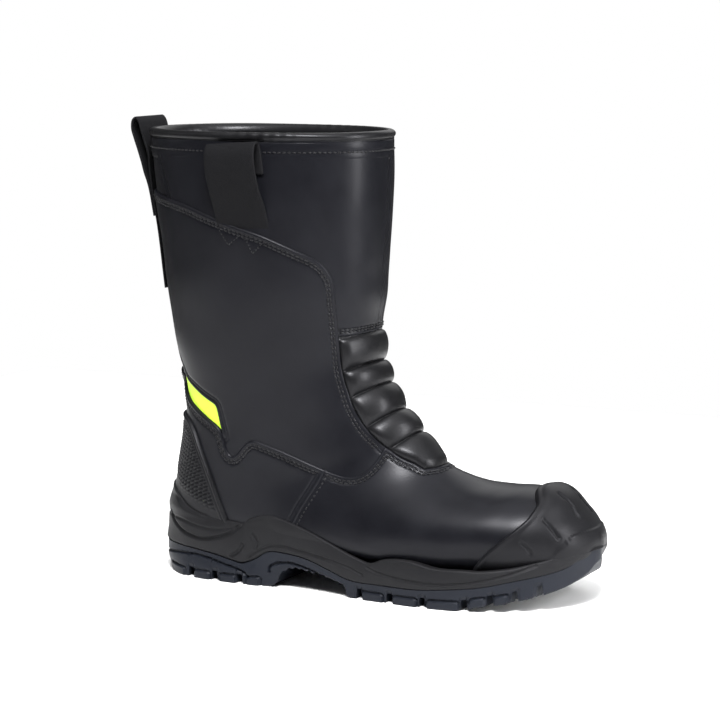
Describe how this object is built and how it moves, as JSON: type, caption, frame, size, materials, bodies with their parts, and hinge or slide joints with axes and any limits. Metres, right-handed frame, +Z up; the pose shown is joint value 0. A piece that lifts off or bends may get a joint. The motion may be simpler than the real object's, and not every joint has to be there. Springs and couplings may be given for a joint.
{
  "type": "firefighter boot",
  "caption": "Pull-on firefighter's boot for the right foot: black leather shaft with a ribbed flex panel, toe and heel covers, pull loops, a removable footbed and a lugged sole.",
  "frame": {"origin": "centre of the boot's bounding box in X and Y, on the ground plane", "axes": "+X to the toe, +Y to the inner (medial) side of a right foot, +Z up the shaft"},
  "size_m": [0.3354, 0.1508, 0.3108],
  "materials": {
    "upper_leather": "smooth water-repellent leather, satin",
    "flex_leather": "soft nappa-like leather over foam",
    "lining_leather": "soft glossy lining leather",
    "lining_textile": "waterproof bootie lining",
    "foam": "polyurethane foam with textile faces",
    "hi_viz": "fluorescent yellow film, satin",
    "cover_rubber": "moulded scuff cover, fine texture",
    "midsole_pu": "matte foamed polyurethane",
    "outsole_rubber": "dark blue-grey nitrile rubber",
    "toecap_shell": "moulded composite",
    "stiffener_board": "thermoplastic stiffener",
    "insole_board": "stitch-down fibre board",
    "plate_steel": "stainless sheet",
    "footbed_felt": "needled felt and foam footbed",
    "webbing": "woven polyamide webbing, black"
  },
  "bodies": {
    "boot": {"shaft_front_lateral": "upper_leather", "shaft_front_medial": "upper_leather", "shaft_rear": "upper_leather", "side_panel_lateral": "upper_leather", "side_panel_medial": "upper_leather", "quarter_lateral": "upper_leather", "quarter_medial": "upper_leather", "vamp": "upper_leather", "front_flex_cover": "flex_leather", "front_flex_foam": "foam", "achilles_flex_panel": "flex_leather", "hi_viz_strip_lateral": "hi_viz", "hi_viz_strip_medial": "hi_viz", "collar_band": "upper_leather", "collar_binding": "flex_leather", "collar_foam": "foam", "shaft_lining": "lining_leather", "foot_lining": "lining_textile", "toe_scuff_cap": "cover_rubber", "heel_counter_cover": "cover_rubber", "protective_toecap": "toecap_shell", "heel_stiffener": "stiffener_board", "insole_board": "insole_board", "puncture_plate": "plate_steel", "shank": "plate_steel", "midsole": "midsole_pu", "outsole": "outsole_rubber", "side_loop_anchor_lateral": "webbing", "side_loop_anchor_medial": "webbing", "rear_strap": "webbing"},
    "lateral_loop": {"side_loop_lateral": "webbing"},
    "medial_loop": {"side_loop_medial": "webbing"},
    "back_loop": {"rear_loop": "webbing"},
    "insole": {"footbed": "footbed_felt"}
  },
  "joints": [
    {"name": "lateral_loop_swing", "type": "hinge", "parent": "boot", "child": "lateral_loop", "pos_m": [-0.0583, -0.0655, 0.2433], "axis": [0.9976, 0, 0.0698], "range_deg": [0, 15], "stiffness_Nm_per_rad": 0.01},
    {"name": "medial_loop_swing", "type": "hinge", "parent": "boot", "child": "medial_loop", "pos_m": [-0.0583, 0.0655, 0.2433], "axis": [-0.9976, 0, -0.0698], "range_deg": [0, 15], "stiffness_Nm_per_rad": 0.01},
    {"name": "rear_loop_swing", "type": "hinge", "parent": "boot", "child": "back_loop", "pos_m": [-0.1549, 0, 0.259], "axis": [0, -1, 0], "range_deg": [0, 20], "stiffness_Nm_per_rad": 0.01},
    {"name": "footbed_lift", "type": "hinge", "parent": "boot", "child": "insole", "pos_m": [0.1412, 0, 0.029], "axis": [0, 1, 0], "range_deg": [0, 4]}
  ]
}
